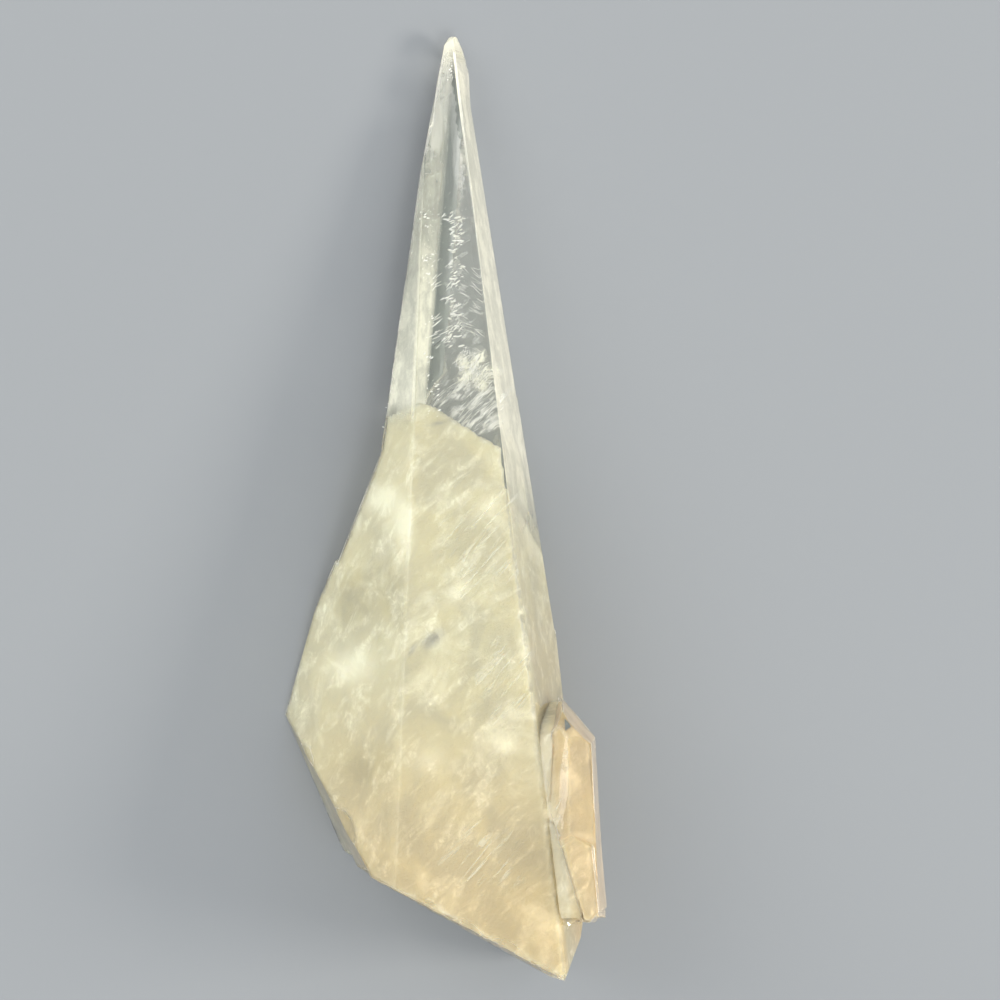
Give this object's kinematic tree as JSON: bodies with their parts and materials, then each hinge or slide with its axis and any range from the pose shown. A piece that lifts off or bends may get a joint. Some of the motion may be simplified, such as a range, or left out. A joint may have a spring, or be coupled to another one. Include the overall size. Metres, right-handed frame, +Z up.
{
  "type": "calcite specimen",
  "caption": "Dogtooth calcite crystal: a long six-faced point, clear at the tip and milky below, with a broad left flank, a broken base and small crystals grown on its right side, lying flat.",
  "frame": {"origin": "centre of the bounding box, at the flat back face that the crystal lies on", "axes": "+Y along the crystal towards its tip, +X towards the side crystals, +Z up out of the front faces"},
  "size_m": [0.0304, 0.0976, 0.0271],
  "materials": {
    "calcite": "natural crystal faces, clear tip over a cream milky body"
  },
  "bodies": {
    "root": {"calcite_crystal": "calcite"}
  },
  "joints": []
}
